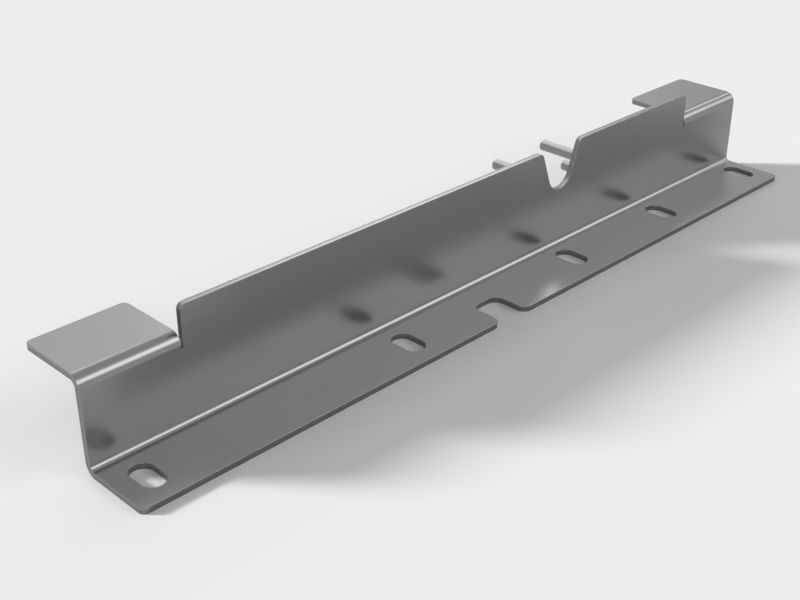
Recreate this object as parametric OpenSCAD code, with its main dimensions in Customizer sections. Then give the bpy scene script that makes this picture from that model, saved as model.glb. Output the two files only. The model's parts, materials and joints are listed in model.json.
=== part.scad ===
// Stamped and folded steel bracket with four weld pins on its back.
// Millimetres. X runs along the length, Y from the flange's front edge to the
// tabs, Z up from the flange's underside. The origin is under the middle of the
// bracket, on the surface that the flange rests on.

/* [Sheet] */
// Thickness of the steel sheet
sheet_t = 3; // [1.5:0.5:4]
// Inside radius of every bend
bend_r = 3; // [1:0.5:5]
// Radius of the sheet's free outer corners
corner_r = 3; // [1:0.5:5]

/* [Overall] */
// Length of the bracket, end to end
length = 470; // [400:5:600]
// Depth of the flange, from its front edge to the back of the web
flange_d = 39.3; // [36:0.1:50]
// Depth of the end tabs, from the back of the web to their free edge
tab_d = 36.8; // [30:0.1:60]
// Height of the web between the tabs
web_h = 60; // [56:1:90]
// Height of the tabs' top face
tab_h = 47; // [46:1:54]

/* [End tabs] */
// Length of the tab at the left end
left_tab_l = 49.1; // [30:0.1:70]
// Length of the tab at the right end
right_tab_l = 54; // [30:0.1:70]
// Width of the relief slit between each tab and the web
relief_w = 1; // [0.8:0.1:4]
// How far each relief slit runs below the tab's bend
relief_drop = 1.5; // [0.5:0.5:3]

/* [Flange slots] */
// Width of a slot, clearance for an M10 bolt
slot_w = 11.1; // [7:0.1:14]
// Length of a slot over its round ends
slot_l = 19; // [15:0.5:24]
// Slot pair by the left tab, from the left end to its outer slot
left_slot_inset = 14.7; // [12:0.1:30]
// Pitch of the left slot pair
left_slot_pitch = 149.3; // [120:0.1:170]
// Left slot pair, from the front edge to the slots' middle
left_slot_y = 17.7; // [14.5:0.1:20]
// Slot row by the right tab, from the right end to its outer slot
right_slot_inset = 12.4; // [10:0.1:30]
// Pitch of the right slot row
right_slot_pitch = 83.2; // [60:0.1:90]
// Right slot row, from the front edge to the slots' middle
right_slot_y = 19.7; // [14.5:0.1:20]

// Number of slots in the left pair
left_slot_count = 2; // [1:1:2]
// Number of slots in the right row
right_slot_count = 3; // [1:1:3]

/* [Flange cut-out] */
// Width of the cut-out in the front edge
cutout_w = 17.5; // [12:0.5:30]
// Depth of the cut-out from the front edge
cutout_d = 19.6; // [12:0.1:26]
// Middle of the cut-out, left of the bracket's middle
cutout_x = 15; // [0:1:20]
// Radius of the cut-out's corners
cutout_r = 5; // [2:0.5:6]

/* [Web notch] */
// Middle of the notch, right of the bracket's middle
notch_x = 63.7; // [0:0.1:80]
// Depth of the notch from the top of the web
notch_d = 24.5; // [20:0.5:28]
// Radius of the notch's round bottom
notch_r = 9.8; // [6:0.1:12]
// Slope of each side of the notch from upright, in degrees
notch_slope = 20; // [5:1:25]
// Radius where the notch runs out into the web's top edge
notch_lip_r = 4; // [1:0.5:6]

/* [Weld pins] */
// Diameter of a pin
pin_d = 6; // [4:0.5:10]
// Length that a pin stands out of the web's back
pin_l = 26; // [10:1:40]
// Spacing of the upper pins, centred on the notch
upper_pin_pitch = 40; // [36:0.5:50]
// Height of the upper pins
upper_pin_z = 47; // [42:0.5:50]
// Spacing of the lower pins, centred on the notch
lower_pin_pitch = 80.8; // [50:0.2:100]
// Height of the lower pins
lower_pin_z = 29; // [20:0.5:34]

/* [Hidden] */
$fn = 64;
sheet_colour = [0.50, 0.50, 0.51];
pin_colour = [0.62, 0.62, 0.63];
// Spare length by which a cutting tool passes the sheet on each side
past = 1;
// How far one cutting outline runs into the next where they meet at a tangent,
// so that no sliver is left between them
bite = 0.0005;
outer_r = bend_r + sheet_t;
depth = flange_d + tab_d;
left_x = -length / 2;
right_x = length / 2;
front_y = -depth / 2;
web_back = front_y + flange_d;
web_front = web_back - sheet_t;
web_left = left_x + left_tab_l + relief_w;
web_right = right_x - right_tab_l - relief_w;
relief_z = tab_h - outer_r - relief_drop;
back_y = front_y + depth;
notch_centre_z = web_h - notch_d + notch_r;
// Half the notch's width at the top of the web, before the lips are rounded
notch_top_w = notch_r / cos(notch_slope) + (web_h - notch_centre_z) * tan(notch_slope);
// Length of each straight edge that a lip's rounding takes up
lip_run = notch_lip_r * tan((90 - notch_slope) / 2);

// Lays an outline drawn in (Y, Z) along X, from one place to another
module along_x(from, to) {
    translate([from, 0, 0]) rotate([90, 0, 90]) linear_extrude(to - from) children();
}

// Carries an outline drawn in (X, Z) through the sheet of the web
module through_web() {
    translate([0, web_back + past, 0]) rotate([90, 0, 0])
        linear_extrude(sheet_t + 2 * past) children();
}

// Carries an outline drawn in (X, Y) through a level sheet whose underside is at z
module through_level(z) {
    translate([0, 0, z - past]) linear_extrude(sheet_t + 2 * past) children();
}

// Quarter ring of the sheet, bent about (y, z). It fills the quadrant that
// the two signs name, seen from the middle of the bend
module bend_section(y, z, side_y, side_z) {
    translate([y, z]) intersection() {
        difference() {
            circle(outer_r);
            circle(bend_r);
        }
        translate([min(0, side_y * outer_r), min(0, side_z * outer_r)]) square(outer_r);
    }
}

// Section of the flange, its bend and the web up to a height
module flange_section(top) {
    translate([front_y, 0]) square([flange_d - outer_r, sheet_t]);
    bend_section(web_back - outer_r, outer_r, 1, -1);
    translate([web_front, outer_r]) square([sheet_t, top - outer_r]);
}

// Section of an end: flange, web, and the tab bent back at the top
module tab_section() {
    flange_section(tab_h - outer_r);
    bend_section(web_front + outer_r, tab_h - outer_r, -1, 1);
    translate([web_front + outer_r, tab_h - sheet_t])
        square([tab_d + sheet_t - outer_r, sheet_t]);
}

// Waste of one rounded corner at the origin, with the sheet towards +X and +Y
// before the turn. The waste also runs past the sheet's edges
module corner_waste(r, turn) {
    rotate(turn) difference() {
        translate([-past, -past]) square(r + past);
        translate([r, r]) circle(r);
    }
}

// One slot, its long way along Y
module slot_outline() {
    square([slot_w, slot_l - slot_w], center = true);
    for (end = [-1, 1])
        translate([0, end * (slot_l - slot_w) / 2]) circle(slot_w / 2);
}

// All the slots of the flange: a pair by the left tab and a row by the right tab
module flange_slots() {
    for (i = [0 : left_slot_count - 1])
        translate([left_x + left_slot_inset + i * left_slot_pitch, front_y + left_slot_y])
            slot_outline();
    for (i = [0 : right_slot_count - 1])
        translate([right_x - right_slot_inset - i * right_slot_pitch, front_y + right_slot_y])
            slot_outline();
}

// Cut-out in the flange's front edge, round in its own corners and where it
// runs out into the edge
module cutout_outline() {
    translate([-cutout_x, front_y]) {
        difference() {
            translate([-cutout_w / 2, -past]) square([cutout_w, cutout_d + past]);
            translate([-cutout_w / 2, cutout_d]) corner_waste(cutout_r, 270);
            translate([cutout_w / 2, cutout_d]) corner_waste(cutout_r, 180);
        }
        translate([-cutout_w / 2, 0]) corner_waste(cutout_r, 90);
        translate([cutout_w / 2, 0]) corner_waste(cutout_r, 0);
    }
}

// One side of the notch, from its centre line outwards: the sloped side that
// leaves the round bottom at a tangent, and the lip that rounds it off on top
module notch_side() {
    polygon([
        [0, notch_centre_z],
        [(notch_r - bite) * cos(notch_slope), notch_centre_z - (notch_r - bite) * sin(notch_slope)],
        [notch_top_w + past * tan(notch_slope), web_h + past],
        [0, web_h + past]
    ]);
    translate([notch_top_w + lip_run - bite, web_h - notch_lip_r]) difference() {
        polygon([
            [-(notch_lip_r + past) * cos(notch_slope), (notch_lip_r + past) * sin(notch_slope)],
            [0, 0],
            [0, notch_lip_r + past],
            [-(notch_lip_r + past) * cos(notch_slope), notch_lip_r + past]
        ]);
        circle(notch_lip_r);
    }
}

// Notch in the top of the web
module notch_outline() {
    translate([notch_x, 0]) {
        translate([0, notch_centre_z]) circle(notch_r);
        notch_side();
        mirror([1, 0]) notch_side();
    }
}

// The flat stock, folded: flange and low web from end to end, the high web
// between the relief slits, and a tab at each end
module folded_sheet() {
    along_x(left_x, right_x) flange_section(relief_z);
    along_x(web_left, web_right) flange_section(web_h);
    along_x(left_x, left_x + left_tab_l) tab_section();
    along_x(right_x - right_tab_l, right_x) tab_section();
}

// The bracket, one sheet of steel
module bracket() {
    color(sheet_colour) difference() {
        folded_sheet();
        through_level(0) {
            flange_slots();
            cutout_outline();
            translate([left_x, front_y]) corner_waste(corner_r, 0);
            translate([right_x, front_y]) corner_waste(corner_r, 90);
        }
        through_level(tab_h - sheet_t) {
            translate([left_x, back_y]) corner_waste(corner_r, 270);
            translate([left_x + left_tab_l, back_y]) corner_waste(corner_r, 180);
            translate([right_x - right_tab_l, back_y]) corner_waste(corner_r, 270);
            translate([right_x, back_y]) corner_waste(corner_r, 180);
        }
        through_web() {
            notch_outline();
            translate([web_left, web_h]) corner_waste(corner_r, 270);
            translate([web_right, web_h]) corner_waste(corner_r, 180);
        }
    }
}

// A plain round pin, welded by its end to the back of the web
module weld_pin(x, z) {
    color(pin_colour) translate([x, web_back, z]) rotate([-90, 0, 0])
        cylinder(d = pin_d, h = pin_l);
}

bracket();
weld_pin(notch_x - upper_pin_pitch / 2, upper_pin_z);  // upper_left_pin
weld_pin(notch_x + upper_pin_pitch / 2, upper_pin_z);  // upper_right_pin
weld_pin(notch_x - lower_pin_pitch / 2, lower_pin_z);  // lower_left_pin
weld_pin(notch_x + lower_pin_pitch / 2, lower_pin_z);  // lower_right_pin
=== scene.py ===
"""Looks of a folded steel bracket with four weld pins on its back.

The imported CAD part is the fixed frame. Around it this script draws the folded
sheet again with the edges that a punch leaves, and each pin with its broken tip
and its weld collar. It gives each piece the steel that the real one is made of,
and sets a plain floor, soft studio lamps and the camera.

Lengths are millimetres in the part's own frame until a mesh is written, which
is in metres: X along the bracket, Y from the flange's front edge to the tabs,
and Z up from the surface that the flange rests on.
"""

import json
import logging
import math
from dataclasses import dataclass
from enum import Enum

import bpy
import numpy as np
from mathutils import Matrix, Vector
from mathutils.geometry import delaunay_2d_cdt

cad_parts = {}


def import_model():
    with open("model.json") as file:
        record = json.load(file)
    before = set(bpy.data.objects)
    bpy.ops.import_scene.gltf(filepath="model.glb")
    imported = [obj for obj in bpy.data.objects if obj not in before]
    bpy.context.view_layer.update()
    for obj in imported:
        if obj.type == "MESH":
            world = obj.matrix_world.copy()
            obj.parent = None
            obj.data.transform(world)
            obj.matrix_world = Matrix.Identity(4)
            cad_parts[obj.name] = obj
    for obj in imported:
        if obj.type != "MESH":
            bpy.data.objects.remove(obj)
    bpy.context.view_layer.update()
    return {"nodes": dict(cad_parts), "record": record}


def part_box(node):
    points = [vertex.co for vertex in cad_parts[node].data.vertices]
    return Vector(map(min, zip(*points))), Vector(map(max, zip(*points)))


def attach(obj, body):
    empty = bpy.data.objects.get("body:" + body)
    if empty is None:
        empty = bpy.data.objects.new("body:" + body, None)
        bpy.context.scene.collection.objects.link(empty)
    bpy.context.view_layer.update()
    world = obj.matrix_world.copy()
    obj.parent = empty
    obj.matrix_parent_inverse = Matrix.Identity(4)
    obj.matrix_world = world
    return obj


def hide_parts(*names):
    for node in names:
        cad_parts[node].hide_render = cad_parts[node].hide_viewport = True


LOG = logging.getLogger("bracket")

MM = 0.001
RIGHT_ANGLE = math.pi / 2
X_AXIS = np.array([1.0, 0.0, 0.0])
Y_AXIS = np.array([0.0, 1.0, 0.0])
# Points that are nearer than this, in millimetres, are one point
SAME_PLACE = 1e-6
# A crossing nearer than this to a side's end, as a share of the side, is the end
SAME_SHARE = 1e-9
# Soft patches, in which the larger ones show most
PATCH_NOISE = {"Detail": 3.0, "Roughness": 0.55}
# Sharper marks, whose size a Mapping node gives
GRAIN_NOISE = {"Scale": 1.0, "Detail": 2.0, "Roughness": 0.6}
# Range in which the sum of the two noises lies, nearly everywhere
NOISE_SUM = {"From Min": 0.5, "From Max": 1.5}


class Region(Enum):
    """The kinds of surface on a piece that is cut from sheet or rod.

    SKIN is the mill's own surface. LAND is the part of a cut that the punch
    rubs smooth, TORN the part that breaks off, and WELD the metal pressed out
    round a weld.
    """

    SKIN = 0
    LAND = 1
    TORN = 2
    WELD = 3


def srgb_to_linear(colour: str) -> tuple[float, float, float, float]:
    """Turns an sRGB hex colour into the linear values that Blender works in.

    The standard's curve is a straight line through zero in the darkest shades,
    and a power of 2.4 above them.

    Args:
        colour: Six hex digits, such as "8e8e8f".

    Returns:
        Red, green, blue and an alpha of one.
    """
    coded = np.array([int(colour[i : i + 2], 16) for i in (0, 2, 4)]) / 255
    linear = np.where(coded <= 0.04045, coded / 12.92, ((coded + 0.055) / 1.055) ** 2.4)
    return (*linear.tolist(), 1.0)


def add_object(name: str, data: bpy.types.ID) -> bpy.types.Object:
    """Puts a mesh, lamp or camera into the scene, at the origin.

    Args:
        name: The object's name.
        data: The mesh, lamp or camera that it holds.

    Returns:
        The object, linked to the scene.
    """
    made = bpy.data.objects.new(name, data)
    bpy.context.scene.collection.objects.link(made)
    return made


def empty_tree(owner: bpy.types.Material | bpy.types.World) -> bpy.types.NodeTree:
    """Gives a new material or world a node tree with nothing in it.

    Args:
        owner: The material or world.

    Returns:
        Its node tree.
    """
    owner.use_nodes = True
    owner.node_tree.nodes.clear()
    return owner.node_tree


def add_node(
    tree: bpy.types.NodeTree,
    kind: str,
    values: dict[str | int, object] | None = None,
    links: dict[str | int, bpy.types.NodeSocket] | None = None,
    **settings: object,
) -> bpy.types.Node:
    """Adds one node to a material or world.

    Args:
        tree: The node tree that gets the node.
        kind: The node's type, such as "ShaderNodeBump".
        values: Constants for its input sockets, by name or number.
        links: Output sockets that feed its input sockets, by name or number.
        **settings: The node's own properties.

    Returns:
        The new node.
    """
    node = tree.nodes.new(kind)
    for name, value in settings.items():
        setattr(node, name, value)
    for name, value in (values or {}).items():
        node.inputs[name].default_value = value
    for name, socket in (links or {}).items():
        tree.links.new(socket, node.inputs[name])
    return node


@dataclass(frozen=True)
class SteelFinish:
    """Bare steel, by how its surface was made.

    Steel has little colour of its own, so its look is in how widely it scatters
    reflections and in the marks of its making.

    Attributes:
        name: The finish's common name, which its material takes.
        colour: sRGB colour of the metal.
        mottle_colour: sRGB colour of its slightly darker patches.
        roughness: Roughness in the middle between its smooth and its dull spots.
        roughness_spread: How far the patches and grain take it either way.
        mottle_mm: Size of the patches.
        grain_mm: Size of the grain's marks along X, Y and Z.
        grain_depth_mm: Height of the grain's relief.
    """

    name: str
    colour: str
    mottle_colour: str
    roughness: float
    roughness_spread: float
    mottle_mm: float
    grain_mm: tuple[float, float, float]
    grain_depth_mm: float

    def material(self) -> bpy.types.Material:
        """Gives the finish as a material on Object coordinates.

        Patches are smooth noise as large as mottle_mm. Grain is noise that is
        scaled on each axis by its own size, so that it reads as the lines of
        rolling or drawing where it is long on one of them. The roughness rises
        with the sum of the two, and the relief is the grain's height.

        Returns:
            The material, which is built at the first call.
        """
        built = bpy.data.materials.get(self.name)
        if built:
            return built
        steel = bpy.data.materials.new(self.name)
        tree = empty_tree(steel)
        place = add_node(tree, "ShaderNodeTexCoord").outputs["Object"]
        patches = add_node(
            tree,
            "ShaderNodeTexNoise",
            PATCH_NOISE | {"Scale": 1 / (self.mottle_mm * MM)},
            {"Vector": place},
        ).outputs["Fac"]
        drawn_out = add_node(
            tree,
            "ShaderNodeMapping",
            {"Scale": tuple(1 / (size * MM) for size in self.grain_mm)},
            {"Vector": place},
        ).outputs["Vector"]
        grain = add_node(
            tree, "ShaderNodeTexNoise", GRAIN_NOISE, {"Vector": drawn_out}
        ).outputs["Fac"]
        # A colour mix takes its share at socket 0 and its colours at 6 and 7
        colour = add_node(
            tree,
            "ShaderNodeMix",
            {6: srgb_to_linear(self.colour), 7: srgb_to_linear(self.mottle_colour)},
            {0: patches},
            data_type="RGBA",
        ).outputs[2]
        marks = add_node(
            tree, "ShaderNodeMath", links={0: patches, 1: grain}, operation="ADD"
        ).outputs[0]
        smooth, dull = self.roughness - self.roughness_spread, self.roughness + self.roughness_spread
        roughness = add_node(
            tree,
            "ShaderNodeMapRange",
            NOISE_SUM | {"To Min": smooth, "To Max": dull},
            {"Value": marks},
        ).outputs["Result"]
        relief = add_node(
            tree,
            "ShaderNodeBump",
            {"Strength": 1.0, "Distance": self.grain_depth_mm * MM},
            {"Height": grain},
        ).outputs["Normal"]
        shader = add_node(
            tree,
            "ShaderNodeBsdfPrincipled",
            {"Metallic": 1.0},
            {"Base Color": colour, "Roughness": roughness, "Normal": relief},
        )
        add_node(tree, "ShaderNodeOutputMaterial", links={"Surface": shader.outputs["BSDF"]})
        return steel


# Cold-rolled sheet: a satin grey that blurs what it mirrors, with faint rolling
# lines. Real lines are about 0.05 mm apart and are drawn eight times as coarse.
ROLLED_SHEET = SteelFinish(
    name="cold_rolled_steel_sheet",
    colour="8e8e8e",
    mottle_colour="8b8b8b",
    roughness=0.26,
    roughness_spread=0.012,
    mottle_mm=28.0,
    grain_mm=(24.0, 0.4, 0.4),
    grain_depth_mm=0.00012,
)
# Rubbed land of a cut: the punch burnishes it, so it is as bright as the sheet.
BURNISHED_EDGE = SteelFinish(
    name="burnished_steel_edge",
    colour="8e8e8e",
    mottle_colour="858585",
    roughness=0.27,
    roughness_spread=0.04,
    mottle_mm=5.0,
    grain_mm=(0.35, 0.35, 0.35),
    grain_depth_mm=0.001,
)
# Torn part of a cut: the steel breaks off here, which leaves it dull and uneven.
TORN_EDGE = SteelFinish(
    name="torn_steel_edge",
    colour="888888",
    mottle_colour="7a7a7a",
    roughness=0.38,
    roughness_spread=0.06,
    mottle_mm=4.0,
    grain_mm=(0.35, 0.35, 0.35),
    grain_depth_mm=0.005,
)
# Drawn rod: brighter and tighter than the sheet, from the polished drawing die,
# with die lines along its length.
DRAWN_ROD = SteelFinish(
    name="bright_drawn_steel_rod",
    colour="929292",
    mottle_colour="8c8c8c",
    roughness=0.24,
    roughness_spread=0.04,
    mottle_mm=6.0,
    grain_mm=(0.3, 12.0, 0.3),
    grain_depth_mm=0.0005,
)
# Weld metal: steel pressed out of the joint while it was soft. It stays duller
# than the rod, and the heat leaves a trace of straw colour.
WELD_METAL = SteelFinish(
    name="resistance_weld_metal",
    colour="86827c",
    mottle_colour="706b66",
    roughness=0.42,
    roughness_spread=0.08,
    mottle_mm=1.5,
    grain_mm=(0.5, 0.5, 0.5),
    grain_depth_mm=0.01,
)


@dataclass
class Surface:
    """Arrays of a mesh that is still being worked out, in millimetres.

    Attributes:
        points: Corners, one row of X, Y and Z each.
        normals: The true surface's outward direction at each corner.
        faces: Corner numbers of each face, counted against the clock from outside.
        regions: Value of each face's Region.
    """

    points: np.ndarray
    normals: np.ndarray
    faces: list[list[int]]
    regions: np.ndarray

    def piece(self, name: str, finishes: dict[Region, SteelFinish]) -> bpy.types.Object:
        """Writes the arrays into a mesh object that sits at the origin.

        Args:
            name: The piece's name.
            finishes: The finish of each Region that the piece has.

        Returns:
            The object, linked to the scene.
        """
        mesh = bpy.data.meshes.new(name)
        mesh.from_pydata((self.points * MM).tolist(), [], self.faces)
        slot_of = np.zeros(len(Region), np.int32)
        for slot, (region, finish) in enumerate(finishes.items()):
            mesh.materials.append(finish.material())
            slot_of[region.value] = slot
        mesh.polygons.foreach_set("material_index", slot_of[self.regions])
        mesh.shade_smooth()
        mesh.normals_split_custom_set_from_vertices(self.normals.tolist())
        mesh.validate()
        return add_object(name, mesh)


@dataclass
class Outline:
    """A closed line on the flat sheet, with the sheet on its left.

    Attributes:
        points: The line's points, one row each.
        outward: Direction away from the sheet at each point.
    """

    points: np.ndarray
    outward: np.ndarray


def rounded_outline(corners: np.ndarray, radii: np.ndarray, steps: int) -> Outline:
    """Rounds every corner of a closed outline with an arc that meets both sides.

    At a corner with turn t the arc starts and ends r * tan(|t| / 2) from it, and
    its centre is r to the side of the turn. Each arc's points are at even angles,
    and a point that two arcs share is given once.

    Args:
        corners: Corner points, one row each, with the sheet on the left.
        radii: Radius at each corner.
        steps: Number of straight stretches that each arc is drawn with.

    Returns:
        The rounded outline.
    """
    ahead = np.roll(corners, -1, axis=0) - corners
    ahead /= np.linalg.norm(ahead, axis=1, keepdims=True)
    behind = np.roll(ahead, 1, axis=0)
    turn = np.arctan2(
        behind[:, 0] * ahead[:, 1] - behind[:, 1] * ahead[:, 0],
        (behind * ahead).sum(axis=1),
    )
    side = np.sign(turn)[:, None]
    start = corners - behind * (radii * np.tan(np.abs(turn) / 2))[:, None]
    left = np.stack([-behind[:, 1], behind[:, 0]], axis=1)
    centre = start + left * side * radii[:, None]
    angle = turn[:, None] * np.linspace(0, 1, steps + 1)
    cosine, sine = np.cos(angle)[..., None], np.sin(angle)[..., None]
    outward = -left[:, None] * cosine + behind[:, None] * sine
    points = (centre[:, None] + outward * (side * radii[:, None])[:, None]).reshape(-1, 2)
    apart = np.linalg.norm(points - np.roll(points, 1, axis=0), axis=1) > SAME_PLACE
    return Outline(points[apart], outward.reshape(-1, 2)[apart])


def next_in_loops(lengths: list[int]) -> np.ndarray:
    """Gives the number of the next point for each point of several closed loops.

    Args:
        lengths: Number of points in each loop.

    Returns:
        The next point's number, where a loop's last point leads to its first.
    """
    firsts = np.cumsum([0, *lengths[:-1]])
    loops = [first + np.roll(np.arange(n), -1) for first, n in zip(firsts, lengths)]
    return np.concatenate(loops)


def ring_walls(rings: int, following: np.ndarray) -> np.ndarray:
    """Joins neighbouring rings of points with faces of four corners.

    A face goes from a point to the same point of the next ring, on to the point
    after it, and back to its own ring.

    Args:
        rings: Number of rings, which all have the same points.
        following: Number of the point after each one of a ring.

    Returns:
        Faces as rows of point numbers, ring by ring.
    """
    count = len(following)
    here = np.arange(count)
    ring = np.arange(rings - 1)[:, None] * count
    corners = [ring + here, ring + count + here, ring + count + following, ring + following]
    return np.stack(corners, axis=-1).reshape(-1, 4)


def fill_outline(flat: np.ndarray, lines: np.ndarray, outline_of: np.ndarray) -> np.ndarray:
    """Fills the area inside the outer outline and outside the holes with triangles.

    A triangle whose three corners lie on the same hole's edge is inside that
    hole, because no hole here has an inward curve.

    Args:
        flat: Points of all the outlines.
        lines: Pairs of points that a triangle's side may not cross.
        outline_of: Number of each point's outline, where the outer one is 0.

    Returns:
        Triangles as rows of point numbers, counted against the clock.
    """
    # Output type 1 keeps the triangles that lie inside the outer outline
    _, _, faces, origins, _, _ = delaunay_2d_cdt(
        [Vector(point) for point in flat.tolist()], lines.tolist(), [], 1, SAME_PLACE
    )
    first_origin = np.array([origin[0] for origin in origins])
    triangles = first_origin[np.array(faces)]
    owner = outline_of[triangles]
    in_hole = (owner[:, 0] > 0) & (owner == owner[:, :1]).all(axis=1)
    return triangles[~in_hole]


@dataclass(frozen=True)
class SlotRow:
    """A row of like slots in the flange, each with its long way across it.

    Attributes:
        middle_x: X of the row's middle.
        middle_y: Y of the row's middle.
        pitch: Distance from slot to slot.
        count: Number of slots.
        radius: Radius of a slot's round ends.
        length: Length of a slot over its round ends.
    """

    middle_x: float
    middle_y: float
    pitch: float
    count: int
    radius: float
    length: float

    @classmethod
    def rows_of(cls, record: dict) -> list["SlotRow"]:
        """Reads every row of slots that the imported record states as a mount.

        Args:
            record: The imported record, with places in metres and sizes in millimetres.

        Returns:
            The rows, in the record's order.
        """
        mounts = [mount for mount in record["mounts"] if "slot_length_mm" in mount["dims"]]
        return [
            cls(
                middle_x=mount["pos_m"][0] / MM,
                middle_y=mount["pos_m"][1] / MM,
                pitch=mount["dims"]["spacing_x_mm"],
                count=mount["dims"]["count"],
                radius=mount["dims"]["hole_r_mm"],
                length=mount["dims"]["slot_length_mm"],
            )
            for mount in mounts
        ]

    def outlines(self, front_y: float, steps: int) -> list[Outline]:
        """Gives each slot's edge on the blank, clockwise round the hole.

        A slot is a rectangle whose corners are rounded by half its width.

        Args:
            front_y: Y of the flange's front edge, from which s counts.
            steps: Number of straight stretches in each quarter of a round end.

        Returns:
            One outline for each slot.
        """
        from_middle = np.arange(self.count) - (self.count - 1) / 2
        signs = np.array([(-1, -1), (-1, 1), (1, 1), (1, -1)])
        corners = signs * (self.radius, self.length / 2) + (0.0, self.middle_y - front_y)
        return [
            rounded_outline(corners + (x, 0.0), np.full(4, self.radius), steps)
            for x in self.middle_x + from_middle * self.pitch
        ]


@dataclass
class FoldedSheet:
    """The bracket's one piece of sheet: flange, web, and a tab at each end.

    The sheet is worked out flat, as its blank, where a point is (x, s): x along
    the bracket, and s across the blank along the sheet's middle layer, from the
    flange's front edge, over the bends, to the tabs' free edge. The blank is
    then folded.

    Attributes:
        slot_rows: The rows of slots in the flange.
        node: Name of the CAD node, whose box gives the overall size.
        sheet: Thickness of the sheet.
        bend: Inside radius of every bend.
        corner: Radius of the sheet's free outer corners.
        flange_depth: Depth of the flange, to the back of the web.
        tab_height: Height of the tabs' top face.
        left_tab: Length of the left tab.
        right_tab: Length of the right tab.
        relief_width: Width of the slit between a tab and the web.
        relief_drop: How far the slit runs below the tab's bend.
        relief_radius: Radius in the corners of the slit's bottom.
        cutout_middle: X of the middle of the cut-out in the flange.
        cutout_width: Width of the cut-out.
        cutout_depth: Depth of the cut-out from the front edge.
        cutout_corner: Radius of the cut-out's corners.
        notch_middle: X of the middle of the notch in the web.
        notch_depth: Depth of the notch.
        notch_round: Radius of the notch's round bottom.
        notch_slope: Slope of the notch's sides from upright, in degrees.
        notch_lip: Radius where the notch runs out into the web's top edge.
        rollover: Radius of the edge that the punch rolls over where it enters.
        burr_side: Radius of the edge on the side where the waste breaks off.
        land_share: Depth to which the punch rubs a cut, as a share of the sheet.
        arc_steps: Straight stretches in each rounded corner.
        bend_steps: Straight stretches in each bend.
        edge_steps: Straight stretches in each rounding of a cut edge.
    """

    slot_rows: list[SlotRow]
    node: str = "bracket"
    sheet: float = 3.0
    bend: float = 3.0
    corner: float = 3.0
    flange_depth: float = 39.3
    tab_height: float = 47.0
    left_tab: float = 49.1
    right_tab: float = 54.0
    relief_width: float = 1.0
    relief_drop: float = 1.5
    relief_radius: float = 0.25
    cutout_middle: float = -15.0
    cutout_width: float = 17.5
    cutout_depth: float = 19.6
    cutout_corner: float = 5.0
    notch_middle: float = 63.7
    notch_depth: float = 24.5
    notch_round: float = 9.8
    notch_slope: float = 20.0
    notch_lip: float = 4.0
    rollover: float = 0.2
    burr_side: float = 0.1
    land_share: float = 0.35
    arc_steps: int = 16
    bend_steps: int = 24
    edge_steps: int = 4

    def __post_init__(self) -> None:
        """Takes the overall size from the frame and works out the fold lines."""
        low, high = (np.array(corner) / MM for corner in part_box(self.node))
        outer = self.bend + self.sheet
        self.left, self.front_y = low[:2]
        self.right = high[0]
        self.fold_radius = self.bend + self.sheet / 2
        self.bend_length = self.fold_radius * RIGHT_ANGLE
        self.first_bend = self.flange_depth - outer
        self.web_start = self.first_bend + self.bend_length
        self.web_top = self.web_start + high[2] - outer
        self.second_bend = self.web_start + self.tab_height - 2 * outer
        self.tab_start = self.second_bend + self.bend_length
        tab_depth = high[1] - self.front_y - self.flange_depth + self.sheet
        self.tab_end = self.tab_start + tab_depth - outer
        self.relief = self.second_bend - self.relief_drop
        self.left_split = self.left + self.left_tab
        self.right_split = self.right - self.right_tab

    def blank_corners(self) -> np.ndarray:
        """Lists the corners of the blank's outer edge, against the clock.

        The notch is a V whose point is cut off by its round bottom. The V's
        point lies r / sin(slope) below the middle of that round.

        Returns:
            One row of x, s and the corner's radius for each corner.
        """
        slope = math.radians(self.notch_slope)
        notch_round_middle = self.web_top - self.notch_depth + self.notch_round
        apex = notch_round_middle - self.notch_round / math.sin(slope)
        notch_half = (self.web_top - apex) * math.tan(slope)
        notch_left, notch_right = self.notch_middle - notch_half, self.notch_middle + notch_half
        cut_left = self.cutout_middle - self.cutout_width / 2
        cut_right = self.cutout_middle + self.cutout_width / 2
        web_left = self.left_split + self.relief_width
        web_right = self.right_split - self.relief_width
        corners = [
            (self.left, 0, self.corner),
            (cut_left, 0, self.cutout_corner),
            (cut_left, self.cutout_depth, self.cutout_corner),
            (cut_right, self.cutout_depth, self.cutout_corner),
            (cut_right, 0, self.cutout_corner),
            (self.right, 0, self.corner),
            (self.right, self.tab_end, self.corner),
            (self.right_split, self.tab_end, self.corner),
            (self.right_split, self.relief, self.relief_radius),
            (web_right, self.relief, self.relief_radius),
            (web_right, self.web_top, self.corner),
            (notch_right, self.web_top, self.notch_lip),
            (self.notch_middle, apex, self.notch_round),
            (notch_left, self.web_top, self.notch_lip),
            (web_left, self.web_top, self.corner),
            (web_left, self.relief, self.relief_radius),
            (self.left_split, self.relief, self.relief_radius),
            (self.left_split, self.tab_end, self.corner),
            (self.left, self.tab_end, self.corner),
        ]
        return np.array(corners)

    def fold_levels(self) -> np.ndarray:
        """Places the lines along which each bend is drawn as narrow flat strips.

        Returns:
            s at each line: a row for the first bend and one for the second.
        """
        share = np.linspace(0, 1, self.bend_steps + 1)
        starts = np.array([self.first_bend, self.second_bend])
        return starts[:, None] + share * self.bend_length

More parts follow.
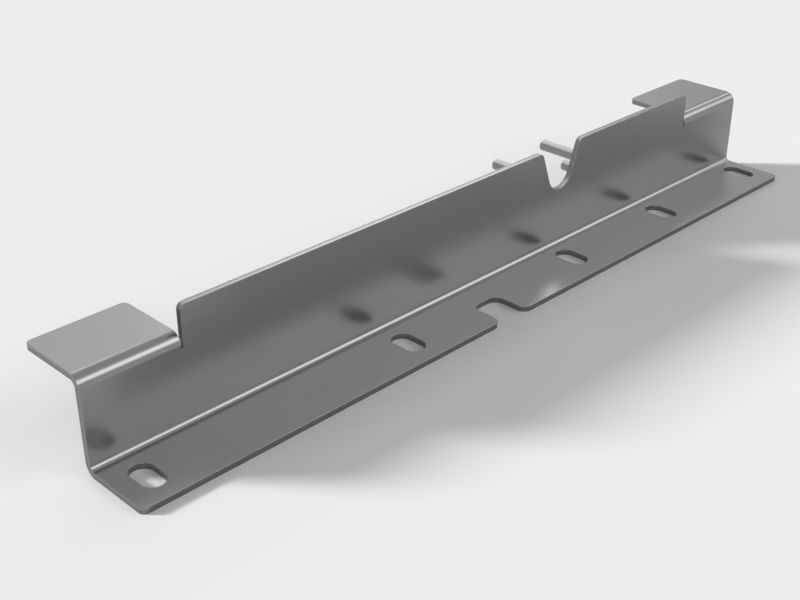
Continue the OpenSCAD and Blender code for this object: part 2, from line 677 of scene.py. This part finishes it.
    def with_fold_points(self, outline: Outline) -> Outline:
        """Adds a point wherever a side crosses one of the lines of a bend.

        Args:
            outline: A closed outline on the blank.

        Returns:
            The outline with the crossings put in, each in its place along it.
        """
        points = outline.points
        levels = self.fold_levels().ravel()
        ends = np.roll(points, -1, axis=0)
        rise = ends[:, 1] - points[:, 1]
        share = np.divide(
            levels - points[:, 1:2],
            rise[:, None],
            out=np.full((len(points), levels.size), -1.0),
            where=np.abs(rise)[:, None] > SAME_PLACE,
        )
        side, level = np.nonzero((share > SAME_SHARE) & (share < 1 - SAME_SHARE))
        share = share[side, level]
        crossings = points[side] + (ends - points)[side] * share[:, None]
        order = np.argsort(np.concatenate([np.arange(len(points)), side + share]))
        return Outline(
            np.concatenate([points, crossings])[order],
            np.concatenate([outline.outward, outline.outward[side]])[order],
        )

    def fold_edges(self, outer: np.ndarray) -> np.ndarray:
        """Pairs the outline's points that a bend's line joins across the sheet.

        A line of the first bend runs from end to end. One of the second bend
        crosses each tab, and stops there.

        Args:
            outer: Points of the outer outline on the blank.

        Returns:
            Two point numbers for each line.
        """
        across_all, across_tabs = self.fold_levels()
        pairs = []
        for level in np.concatenate([across_all, across_tabs]):
            on_line = np.flatnonzero(np.abs(outer[:, 1] - level) < SAME_PLACE)
            on_line = on_line[np.argsort(outer[on_line, 0])]
            if level in across_tabs:
                pairs += [on_line[:2], on_line[-2:]]
            else:
                pairs.append(on_line[[0, -1]])
        return np.array(pairs)

    def fold(
        self, x: np.ndarray, s: np.ndarray, depth: np.ndarray
    ) -> tuple[np.ndarray, np.ndarray, np.ndarray]:
        """Folds points of the blank into place.

        The sheet's middle layer runs level, turns up through a quarter circle,
        runs up the web and, in a tab, turns back to level. The sheet's angle
        is the first bend's turn less the second's, and depth is measured
        square to it, from the front and top skin.

        Args:
            x: Place along the bracket.
            s: Place across the blank.
            depth: Depth in the sheet below its front and top skin.

        Returns:
            The folded points, the direction in which s runs, and the
            direction in which depth runs.
        """
        half_slit = self.relief_width / 2
        in_tab = (x <= self.left_split + half_slit) | (x >= self.right_split - half_slit)
        first = np.clip((s - self.first_bend) / self.bend_length, 0, 1) * RIGHT_ANGLE
        second = np.clip((s - self.second_bend) / self.bend_length, 0, 1) * RIGHT_ANGLE
        second = np.where(in_tab, second, 0)
        flange_run = np.minimum(s, self.first_bend)
        web_end = np.where(in_tab, self.second_bend, self.web_top)
        web_run = np.clip(s, self.web_start, web_end) - self.web_start
        tab_run = np.where(in_tab, np.maximum(s - self.tab_start, 0), 0)
        bends_y = self.fold_radius * (np.sin(first) + 1 - np.cos(second))
        bends_z = self.fold_radius * (1 - np.cos(first) + np.sin(second))
        middle_y = self.front_y + flange_run + bends_y + tab_run
        middle_z = self.sheet / 2 + bends_z + web_run
        angle = first - second
        flat = np.zeros_like(angle)
        along = np.stack([flat, np.cos(angle), np.sin(angle)], axis=1)
        through = np.stack([flat, np.sin(angle), -np.cos(angle)], axis=1)
        middle = np.stack([x, middle_y, middle_z], axis=1)
        return middle + (depth - self.sheet / 2)[:, None] * through, along, through

    def edge_profile(self) -> np.ndarray:
        """Gives the cut edge's section, from the front skin to the back one.

        The punch rolls the skin over where it enters, rubs a land smooth, and
        leaves a tighter corner where the rest breaks off. Each corner is a
        quarter circle.

        Returns:
            For each point: how far it lies inside the outline, its depth, and
            the outward and through parts of its direction.
        """
        swing = np.linspace(0, RIGHT_ANGLE, self.edge_steps + 1)
        sine, cosine = np.sin(swing), np.cos(swing)
        roll, burr = self.rollover, self.burr_side
        enter = [roll * (1 - sine), roll * (1 - cosine), sine, -cosine]
        land_end = [[0.0, self.land_share * self.sheet, 1.0, 0.0]]
        leave = [burr * (1 - cosine), self.sheet - burr * (1 - sine), cosine, sine]
        return np.concatenate([np.stack(enter, axis=1), land_end, np.stack(leave, axis=1)])

    def skin(self, flat: np.ndarray, lengths: list[int]) -> np.ndarray:
        """Fills one side of the blank, with sides along the bends' lines.

        Args:
            flat: Points of all the outlines on that side.
            lengths: Number of points in each outline, with the outer one first.

        Returns:
            Triangles as rows of point numbers, counted against the clock.
        """
        rims = np.stack([np.arange(len(flat)), next_in_loops(lengths)], axis=1)
        lines = np.concatenate([rims, self.fold_edges(flat[: lengths[0]])])
        return fill_outline(flat, lines, np.repeat(np.arange(len(lengths)), lengths))

    def surface(self) -> Surface:
        """Works out the whole sheet.

        Every outline carries the edge's section round it, and the two skins
        fill the blank between the innermost lines of those sections. A point
        of the edge faces partly outwards in the sheet and partly through it.

        Returns:
            The sheet's closed surface.
        """
        corners = self.blank_corners()
        outer = rounded_outline(corners[:, :2], corners[:, 2], self.arc_steps)
        outlines = [self.with_fold_points(outer)]
        for row in self.slot_rows:
            outlines += row.outlines(self.front_y, self.arc_steps)
        lengths = [len(outline.points) for outline in outlines]
        blank = np.concatenate([outline.points for outline in outlines])
        outward = np.concatenate([outline.outward for outline in outlines])

        profile = self.edge_profile()
        count, stations = len(blank), len(profile)
        inset, depth, out_part, through_part = profile.T[..., None]
        edge = blank - outward * inset[..., None]
        x, s = edge.reshape(-1, 2).T
        points, along, through = self.fold(x, s, np.repeat(depth, count))
        out = (outward * out_part[..., None]).reshape(-1, 2)
        in_sheet = out[:, :1] * X_AXIS + out[:, 1:] * along
        normals = in_sheet + np.repeat(through_part, count)[:, None] * through

        back = (stations - 1) * count + self.skin(edge[-1], lengths)[:, ::-1]
        skins = np.concatenate([self.skin(edge[0], lengths), back]).tolist()
        walls = ring_walls(stations, next_in_loops(lengths)).tolist()
        # From the front skin back: the rollover, the rubbed land and the torn rest
        kinds = [Region.SKIN] * self.edge_steps + [Region.LAND]
        kinds += [Region.TORN] * (stations - 1 - len(kinds))
        wall_regions = np.repeat([kind.value for kind in kinds], count)
        regions = np.concatenate([np.full(len(skins), Region.SKIN.value), wall_regions])
        return Surface(points, normals, skins + walls, regions)

    def build(self) -> bpy.types.Object:
        """Makes the sheet's piece, with the finish of its skins and its cut edges.

        Returns:
            The piece, in place of its CAD node.
        """
        finishes = {
            Region.SKIN: ROLLED_SHEET,
            Region.LAND: BURNISHED_EDGE,
            Region.TORN: TORN_EDGE,
        }
        piece = self.surface().piece("folded_sheet", finishes)
        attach(piece, "root")
        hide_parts(self.node)
        return piece


@dataclass
class WeldPins:
    """The four plain pins, each welded by its end to the back of the web.

    Attributes:
        nodes: Names of the CAD pins, whose boxes give the axes and the sizes.
        tip_break: Radius of the broken edge at a pin's tip.
        collar_width: How far the weld collar stands out from the shank.
        collar_height: How far the collar climbs up the shank.
        around: Number of flat strips round a pin.
        round_steps: Straight stretches in the collar's and the tip's curves.
    """

    nodes: tuple[str, ...] = (
        "upper_left_pin",
        "upper_right_pin",
        "lower_left_pin",
        "lower_right_pin",
    )
    tip_break: float = 0.35
    collar_width: float = 1.1
    collar_height: float = 0.9
    around: int = 72
    round_steps: int = 5

    def profile(self, radius: float, length: float) -> tuple[np.ndarray, np.ndarray]:
        """Gives a pin's half section, from the weld to the flat of its tip.

        The weld collar is a hollow quarter ellipse between the web and the
        shank, and the tip's edge is a quarter circle. The outward direction is
        square to each curve.

        Args:
            radius: Radius of the shank.
            length: Length of the pin out of the web.

        Returns:
            Radius and distance from the web at each point, and the outward
            direction there.
        """
        swing = np.linspace(0, RIGHT_ANGLE, self.round_steps + 1)
        sine, cosine = np.sin(swing), np.cos(swing)
        wide, high, tip = self.collar_width, self.collar_height, self.tip_break
        collar = [radius + wide * (1 - sine), high * (1 - cosine), high * sine, wide * cosine]
        end = [radius - tip * (1 - cosine), length - tip * (1 - sine), cosine, sine]
        rows = np.concatenate([np.stack(collar, axis=1), np.stack(end, axis=1)])
        outward = rows[:, 2:] / np.linalg.norm(rows[:, 2:], axis=1, keepdims=True)
        return rows[:, :2], outward

    def surface(self, node: str) -> Surface:
        """Turns the half section about the pin's axis, which runs along Y.

        Args:
            node: Name of the CAD pin.

        Returns:
            The pin's closed surface.
        """
        low, high = (np.array(corner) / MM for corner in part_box(node))
        foot = np.array([(low[0] + high[0]) / 2, low[1], (low[2] + high[2]) / 2])
        profile, outward = self.profile((high[2] - low[2]) / 2, high[1] - low[1])
        turn = np.linspace(0, 2 * math.pi, self.around, endpoint=False)
        spoke = np.stack([np.cos(turn), np.zeros_like(turn), np.sin(turn)], axis=1)
        points = foot + profile[:, :1, None] * spoke + profile[:, 1:, None] * Y_AXIS
        normals = outward[:, :1, None] * spoke + outward[:, 1:, None] * Y_AXIS
        walls = ring_walls(len(profile), next_in_loops([self.around]))
        foot_ring = np.arange(self.around)
        tip_ring = (len(profile) - 1) * self.around + foot_ring
        faces = walls.tolist() + [tip_ring[::-1].tolist(), foot_ring.tolist()]
        # The collar's walls come first, and the flat ends of the pin come last
        regions = np.full(len(faces), Region.SKIN.value)
        regions[: self.round_steps * self.around] = Region.WELD.value
        regions[-2:] = Region.TORN.value
        return Surface(points.reshape(-1, 3), normals.reshape(-1, 3), faces, regions)

    def build(self) -> list[bpy.types.Object]:
        """Makes each pin's piece, with the finish of its shank, collar and ends.

        Returns:
            The pieces, in place of their CAD nodes.
        """
        finishes = {
            Region.SKIN: DRAWN_ROD,
            Region.WELD: WELD_METAL,
            Region.TORN: TORN_EDGE,
        }
        pieces = []
        for node in self.nodes:
            piece = self.surface(node).piece(f"{node}_shank", finishes)
            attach(piece, "root")
            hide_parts(node)
            pieces.append(piece)
        return pieces


def stand_lamp(
    lamp: bpy.types.Light, azimuth: float, elevation: float, distance: float
) -> bpy.types.Object:
    """Stands a lamp away from the bracket, with its face turned to it.

    Args:
        lamp: The lamp, which shines along its own -Z.
        azimuth: Where it stands, in degrees from +Y towards +X.
        elevation: How high it stands, in degrees above the floor.
        distance: Distance from the bracket, in metres.

    Returns:
        The lamp's object.
    """
    turn, lift = math.radians(azimuth), math.radians(elevation)
    level = math.cos(lift)
    away = Vector((math.sin(turn) * level, math.cos(turn) * level, math.sin(lift)))
    stand = add_object(lamp.name, lamp)
    stand.location = away * distance
    stand.rotation_euler = away.to_track_quat("Z", "Y").to_euler()
    return stand


@dataclass(frozen=True)
class Softbox:
    """A square studio lamp that faces the bracket and shows in bright metal.

    It stands so far off that it lights the floor evenly, and its size is given
    by how large it looks from the bracket.

    Attributes:
        name: The lamp's name.
        azimuth: Where it stands, in degrees from +Y towards +X.
        elevation: How high it stands, in degrees.
        width: How wide it looks, in degrees.
        height: How high it looks, in degrees.
        brightness: How bright its face is, where one is white.
        distance: Distance from the bracket, in metres.
    """

    name: str
    azimuth: float
    elevation: float
    width: float
    height: float
    brightness: float
    distance: float = 20.0

    def light(self) -> bpy.types.Object:
        """Makes the lamp as a rectangular area light that the camera doesn't see.

        A side is twice the distance times the tangent of half its angle. A
        face that sends out its power evenly to one side is as bright as its
        power over pi times its area.

        Returns:
            The lamp's object.
        """
        lamp = bpy.data.lights.new(self.name, "AREA")
        lamp.shape = "RECTANGLE"
        lamp.size, lamp.size_y = (
            2 * self.distance * math.tan(math.radians(angle) / 2)
            for angle in (self.width, self.height)
        )
        lamp.energy = self.brightness * math.pi * lamp.size * lamp.size_y
        stand = stand_lamp(lamp, self.azimuth, self.elevation, self.distance)
        stand.visible_camera = False
        return stand


@dataclass(frozen=True)
class FlaggedLamp:
    """A distant round lamp that lights the floor and is kept off the metal.

    Attributes:
        name: The lamp's name.
        azimuth: Where it stands, in degrees from +Y towards +X.
        elevation: How high it stands, in degrees.
        spread: How wide its face looks from the bracket, in degrees.
        strength: Light that it gives a surface that faces it.
        distance: Distance of its marker from the bracket, in metres.
    """

    name: str
    azimuth: float
    elevation: float
    spread: float
    strength: float
    distance: float = 2.0

    def light(self) -> bpy.types.Object:
        """Makes the lamp as a sun, so that the floor is lit evenly.

        Bright metal doesn't mirror it, as it wouldn't mirror a lamp behind a flag.

        Returns:
            The lamp's object.
        """
        lamp = bpy.data.lights.new(self.name, "SUN")
        lamp.angle = math.radians(self.spread)
        lamp.energy = self.strength
        stand = stand_lamp(lamp, self.azimuth, self.elevation, self.distance)
        stand.visible_glossy = False
        return stand


# Matt studio paper: pale and without gloss, so that it shows only the shadow.
@dataclass(frozen=True)
class PaperFinish:
    """Plain paper of one colour.

    Attributes:
        name: The finish's common name, which its material takes.
        colour: sRGB colour of the paper.
    """

    name: str = "matt_studio_paper"
    colour: str = "f0f0f0"

    def material(self) -> bpy.types.Material:
        """Builds the paper as a fully rough material with no reflection.

        Returns:
            The material.
        """
        paper = bpy.data.materials.new(self.name)
        tree = empty_tree(paper)
        matt = {
            "Base Color": srgb_to_linear(self.colour),
            "Roughness": 1.0,
            "Specular IOR Level": 0.0,
        }
        shader = add_node(tree, "ShaderNodeBsdfPrincipled", matt)
        add_node(tree, "ShaderNodeOutputMaterial", links={"Surface": shader.outputs["BSDF"]})
        return paper


@dataclass(frozen=True)
class Studio:
    """A plain pale floor under soft lamps, with a pale backdrop all round.

    Attributes:
        paper: The floor's finish.
        floor_reach: Distance from the bracket to the floor's edges, in metres.
        backdrop_colour: sRGB colour of the backdrop.
        backdrop_shown: How bright the backdrop looks, where one is white.
        backdrop_fill: How bright it is as a light on matt surfaces.
        lamps: Every lamp of the studio.
    """

    paper: PaperFinish = PaperFinish()
    floor_reach: float = 5.0
    backdrop_colour: str = "ffffff"
    backdrop_shown: float = 0.7
    backdrop_fill: float = 0.03
    lamps: tuple[FlaggedLamp | Softbox, ...] = (
        # The floor's own light, low in the back left, which lays the shadow in front
        FlaggedLamp("key_lamp", azimuth=-42, elevation=20, spread=10, strength=4.4),
        # A little light into the shadow and down the slots
        FlaggedLamp("floor_lamp", azimuth=190, elevation=62, spread=40, strength=0.25),
        # Bright lines along the bends, and the grey of the flange and low web
        Softbox("front_right_box", azimuth=139, elevation=31.5, width=46, height=24, brightness=2.4),
        # Level of the left tab
        Softbox("back_right_box", azimuth=27, elevation=36, width=35, height=32, brightness=0.5),
        # Bright line along the web's top edge
        Softbox("rim_box", azimuth=44, elevation=24.5, width=16, height=13, brightness=2.6),
        # Patch of light that falls through the notch on to the flange
        Softbox("notch_box", azimuth=54, elevation=35, width=8, height=8, brightness=5.0),
        # Patch of light on the web's right end, below the tab
        Softbox("side_box", azimuth=83, elevation=36, width=11, height=9, brightness=2.8),
        # Light along the tops of the pins
        Softbox("top_back_box", azimuth=-2, elevation=54, width=52, height=19, brightness=1.3),
        # Fill for the shadow and the cut edges in front
        Softbox("front_left_box", azimuth=-139, elevation=31.5, width=46, height=24, brightness=1.7),
    )

    def floor(self) -> bpy.types.Object:
        """Lays the floor, a flat square whose top is at z = 0.

        Returns:
            The floor.
        """
        mesh = bpy.data.meshes.new("floor")
        corners = np.array([(-1, -1, 0), (1, -1, 0), (1, 1, 0), (-1, 1, 0)]) * self.floor_reach
        mesh.from_pydata(corners.tolist(), [], [[0, 1, 2, 3]])
        mesh.materials.append(self.paper.material())
        return add_object("floor", mesh)

    def backdrop(self) -> None:
        """Makes the world a pale backdrop that shows more than it lights.

        The camera, the metal and glass see it pale. It lights matt surfaces by
        the fill alone, so that the lamps shape the bracket's shadow.
        """
        world = bpy.data.worlds.new("studio")
        tree = empty_tree(world)
        path = add_node(tree, "ShaderNodeLightPath").outputs
        seen = path["Is Camera Ray"]
        for kind in ("Is Glossy Ray", "Is Transmission Ray"):
            seen = add_node(
                tree, "ShaderNodeMath", links={0: seen, 1: path[kind]}, operation="MAXIMUM"
            ).outputs[0]
        strength = add_node(
            tree,
            "ShaderNodeMapRange",
            {"To Min": self.backdrop_fill, "To Max": self.backdrop_shown},
            {"Value": seen},
        ).outputs["Result"]
        background = add_node(
            tree,
            "ShaderNodeBackground",
            {"Color": srgb_to_linear(self.backdrop_colour)},
            {"Strength": strength},
        )
        add_node(
            tree, "ShaderNodeOutputWorld", links={"Surface": background.outputs["Background"]}
        )
        bpy.context.scene.world = world

    def build(self) -> None:
        """Lays the floor, hangs the backdrop and lights the lamps."""
        self.floor()
        self.backdrop()
        for lamp in self.lamps:
            lamp.light()


@dataclass(frozen=True)
class PhotoCamera:
    """The camera that took the photograph, as its straight edges tell it.

    Attributes:
        place_mm: Where the lens is.
        yaw: Which way it looks, in degrees from +Y towards +X.
        pitch: How far it looks down, in degrees.
        focal_px: Focal length, in the photograph's pixels.
        image_px: Width of the photograph, in pixels.
        sensor_mm: Width of the sensor.
        near: Nearest distance that it shows, in metres.
        far: Furthest distance that it shows, in metres.
    """

    place_mm: tuple[float, float, float] = (-439.5, -383.8, 307.0)
    yaw: float = 44.954
    pitch: float = 28.51
    focal_px: float = 1260.25
    image_px: int = 800
    sensor_mm: float = 36.0
    near: float = 0.01
    far: float = 50.0

    def stand(self) -> None:
        """Sets the camera up and makes it the scene's own."""
        lens = bpy.data.cameras.new("photo_camera")
        lens.sensor_width = self.sensor_mm
        lens.lens = self.focal_px * self.sensor_mm / self.image_px
        lens.clip_start, lens.clip_end = self.near, self.far
        camera = add_object("photo_camera", lens)
        tilt, turn = RIGHT_ANGLE - math.radians(self.pitch), -math.radians(self.yaw)
        camera.rotation_euler = (tilt, 0.0, turn)
        camera.location = Vector(self.place_mm) * MM
        bpy.context.scene.camera = camera


def main() -> None:
    """Dresses the bracket, sets up the studio and reports each piece."""
    logging.basicConfig(level=logging.INFO, format="%(name)s: %(message)s")
    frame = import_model()
    bpy.context.scene.view_settings.view_transform = "Standard"

    PhotoCamera().stand()
    Studio().build()
    sheet = FoldedSheet(SlotRow.rows_of(frame["record"])).build()
    for piece in [sheet, *WeldPins().build()]:
        LOG.info("%s: %d faces", piece.name, len(piece.data.polygons))

    LOG.info("dressed %d CAD nodes", len(frame["nodes"]))


if __name__ == "__main__":
    main()
